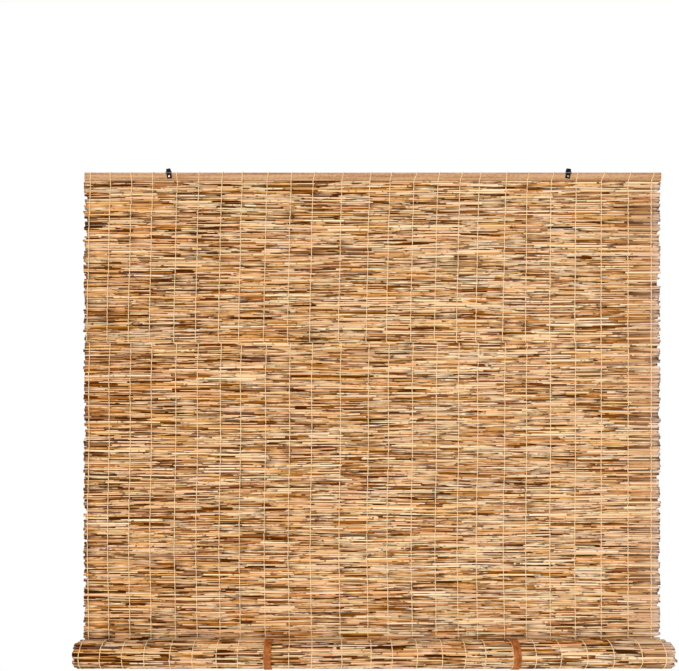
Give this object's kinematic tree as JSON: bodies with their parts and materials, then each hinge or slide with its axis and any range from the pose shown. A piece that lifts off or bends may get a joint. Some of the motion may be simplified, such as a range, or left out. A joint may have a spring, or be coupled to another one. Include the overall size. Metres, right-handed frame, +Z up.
{
  "type": "reed roll up blind",
  "caption": "Natural reed roll-up blind with a wooden header batten, swivelling steel hangers, woven warp yarns and leather straps that hold the rolled lower end.",
  "frame": {"origin": "middle of the level line through both hooks' seats, at the blind's middle", "axes": "+X to the right along the header, +Y towards the wall, +Z up"},
  "size_m": [1.2, 0.063, 1.0326],
  "materials": {
    "header_wood": "planed, unvarnished softwood",
    "reed": "natural dried reed, mixed straw, tan and dark brown",
    "slat_wood": "planed, unvarnished softwood",
    "yarn": "twisted cotton yarn, cream",
    "black_steel": "black baked paint, semi-gloss",
    "bright_steel": "bright zinc plating",
    "tan_leather": "tan leather, matte",
    "stud_brass": "dull brass"
  },
  "bodies": {
    "blind": {"header_batten": "header_wood", "reed_mat": "reed", "bottom_slat": "slat_wood", "warp_yarns": "yarn", "left_screw": "bright_steel", "right_screw": "bright_steel", "left_strap": "tan_leather", "right_strap": "tan_leather", "left_stud": "stud_brass", "right_stud": "stud_brass"},
    "left_hook_body": {"left_hanger": "black_steel"},
    "right_hook_body": {"right_hanger": "black_steel"}
  },
  "joints": [
    {"name": "left_hanger_swivel", "type": "hinge", "parent": "blind", "child": "left_hook_body", "pos_m": [-0.42282, -0.0031, -0.01408], "axis": [0, -1, 0], "range_deg": [-40, 20]},
    {"name": "right_hanger_swivel", "type": "hinge", "parent": "blind", "child": "right_hook_body", "pos_m": [0.40479, -0.0031, -0.01408], "axis": [0, -1, 0], "range_deg": [-20, 40]}
  ]
}
